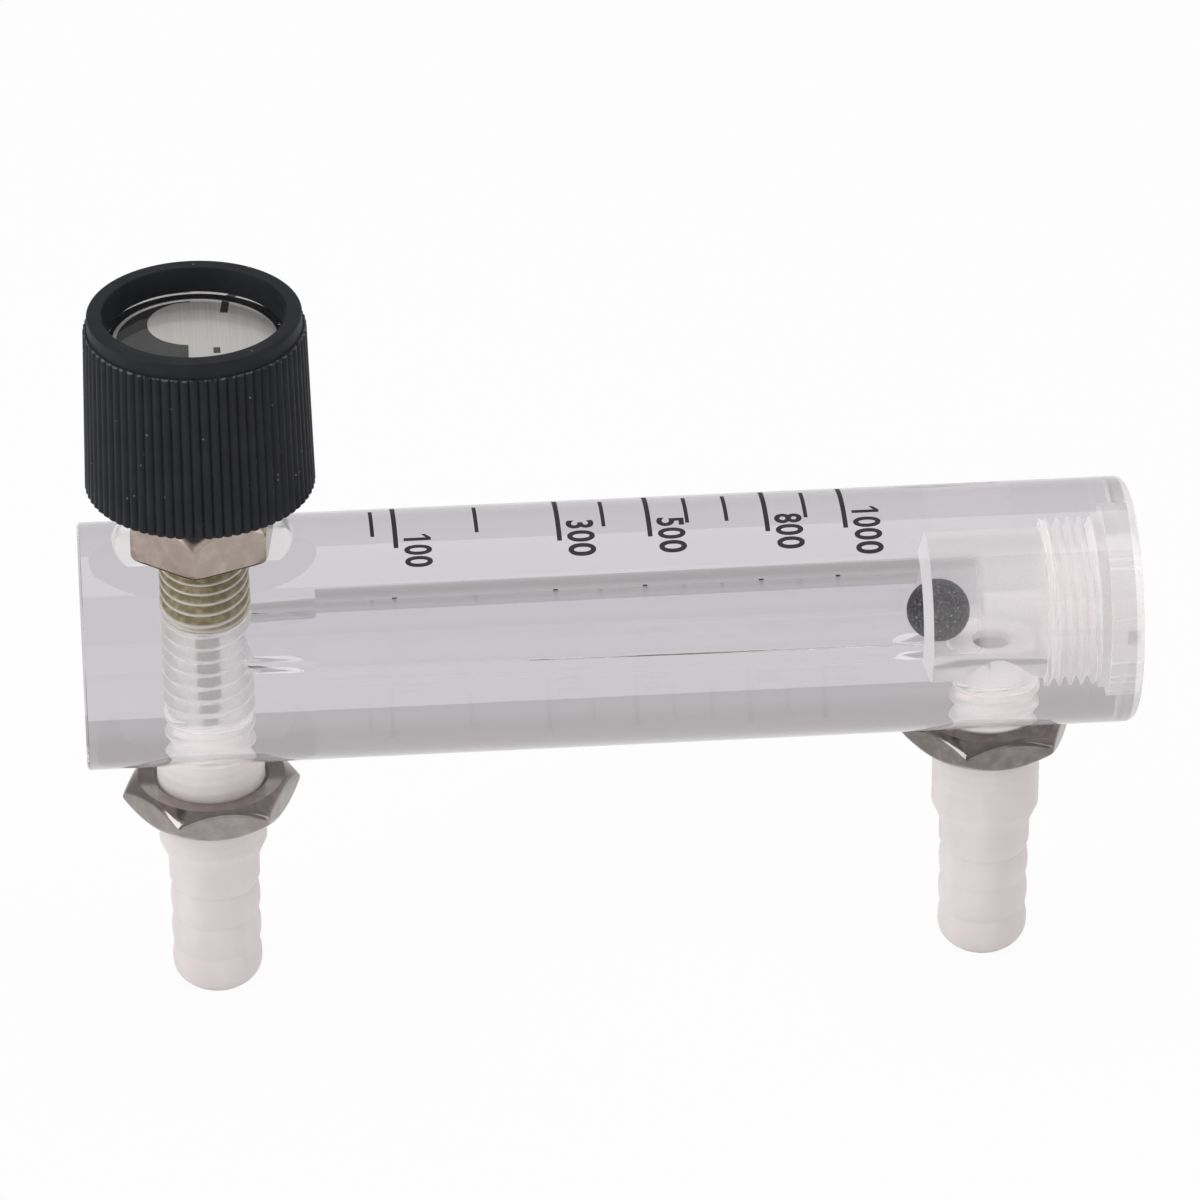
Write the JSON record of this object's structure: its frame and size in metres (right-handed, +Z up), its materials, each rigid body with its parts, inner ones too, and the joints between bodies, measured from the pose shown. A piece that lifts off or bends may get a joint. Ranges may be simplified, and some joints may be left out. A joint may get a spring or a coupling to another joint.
{
  "type": "rotameter",
  "caption": "Small clear acrylic rod rotameter with a ball float in a tapered bore, a ribbed needle-valve knob, hose barbs below and panel nuts.",
  "frame": {"origin": "under the middle of the meter body, level with the open ends of the two hose barbs", "axes": "+X along the meter body from the valve to the end plug, +Z up through the valve and knob, +Y completes a right-handed set"},
  "size_m": [0.0936, 0.022, 0.0689],
  "materials": {
    "acrylic": "clear polished acrylic",
    "black_plastic": "fine matt black moulding",
    "nylon": "natural translucent nylon",
    "nickel": "nickel plate over brass",
    "brass": "turned",
    "steel": "turned",
    "rubber": "moulded",
    "silicone": "milky silicone",
    "ball": "black satin",
    "dial": "brushed with black print",
    "lens": "clear polished"
  },
  "bodies": {
    "meter": {"meter_body": "acrylic", "end_plug": "nylon", "plug_o_ring": "silicone", "inlet_fitting": "nylon", "outlet_fitting": "nylon", "inlet_o_ring": "silicone", "outlet_o_ring": "silicone", "inlet_nut": "nickel", "outlet_nut": "nickel", "valve_gland": "nickel", "gland_o_ring": "rubber"},
    "float": {"float_ball": "ball"},
    "stem_seal": {"stem_o_ring": "rubber"},
    "knob": {"valve_stem": "steel", "knob_shell": "black_plastic", "knob_bush": "brass", "screw_washer": "steel", "knob_screw": "steel", "dial_disc": "dial", "dial_lens": "lens"}
  },
  "joints": [
    {"name": "float_rise", "type": "slide", "parent": "meter", "child": "float", "axis": [1, 0, -0.005], "range_m": [-0.05366, 0.00113]},
    {"name": "needle_lift", "type": "slide", "parent": "meter", "child": "stem_seal", "axis": [0, 0, 1], "range_m": [-0.00076, 0.00151]},
    {"name": "knob_turn", "type": "hinge", "parent": "stem_seal", "child": "knob", "pos_m": [-0.03575, 0, 0.0518], "axis": [0, 0, 1], "range_deg": [-540, 1080]}
  ],
  "couplings": [
    {"joint": "needle_lift", "follows": "knob_turn", "m_per_rad": 0.000079577}
  ]
}
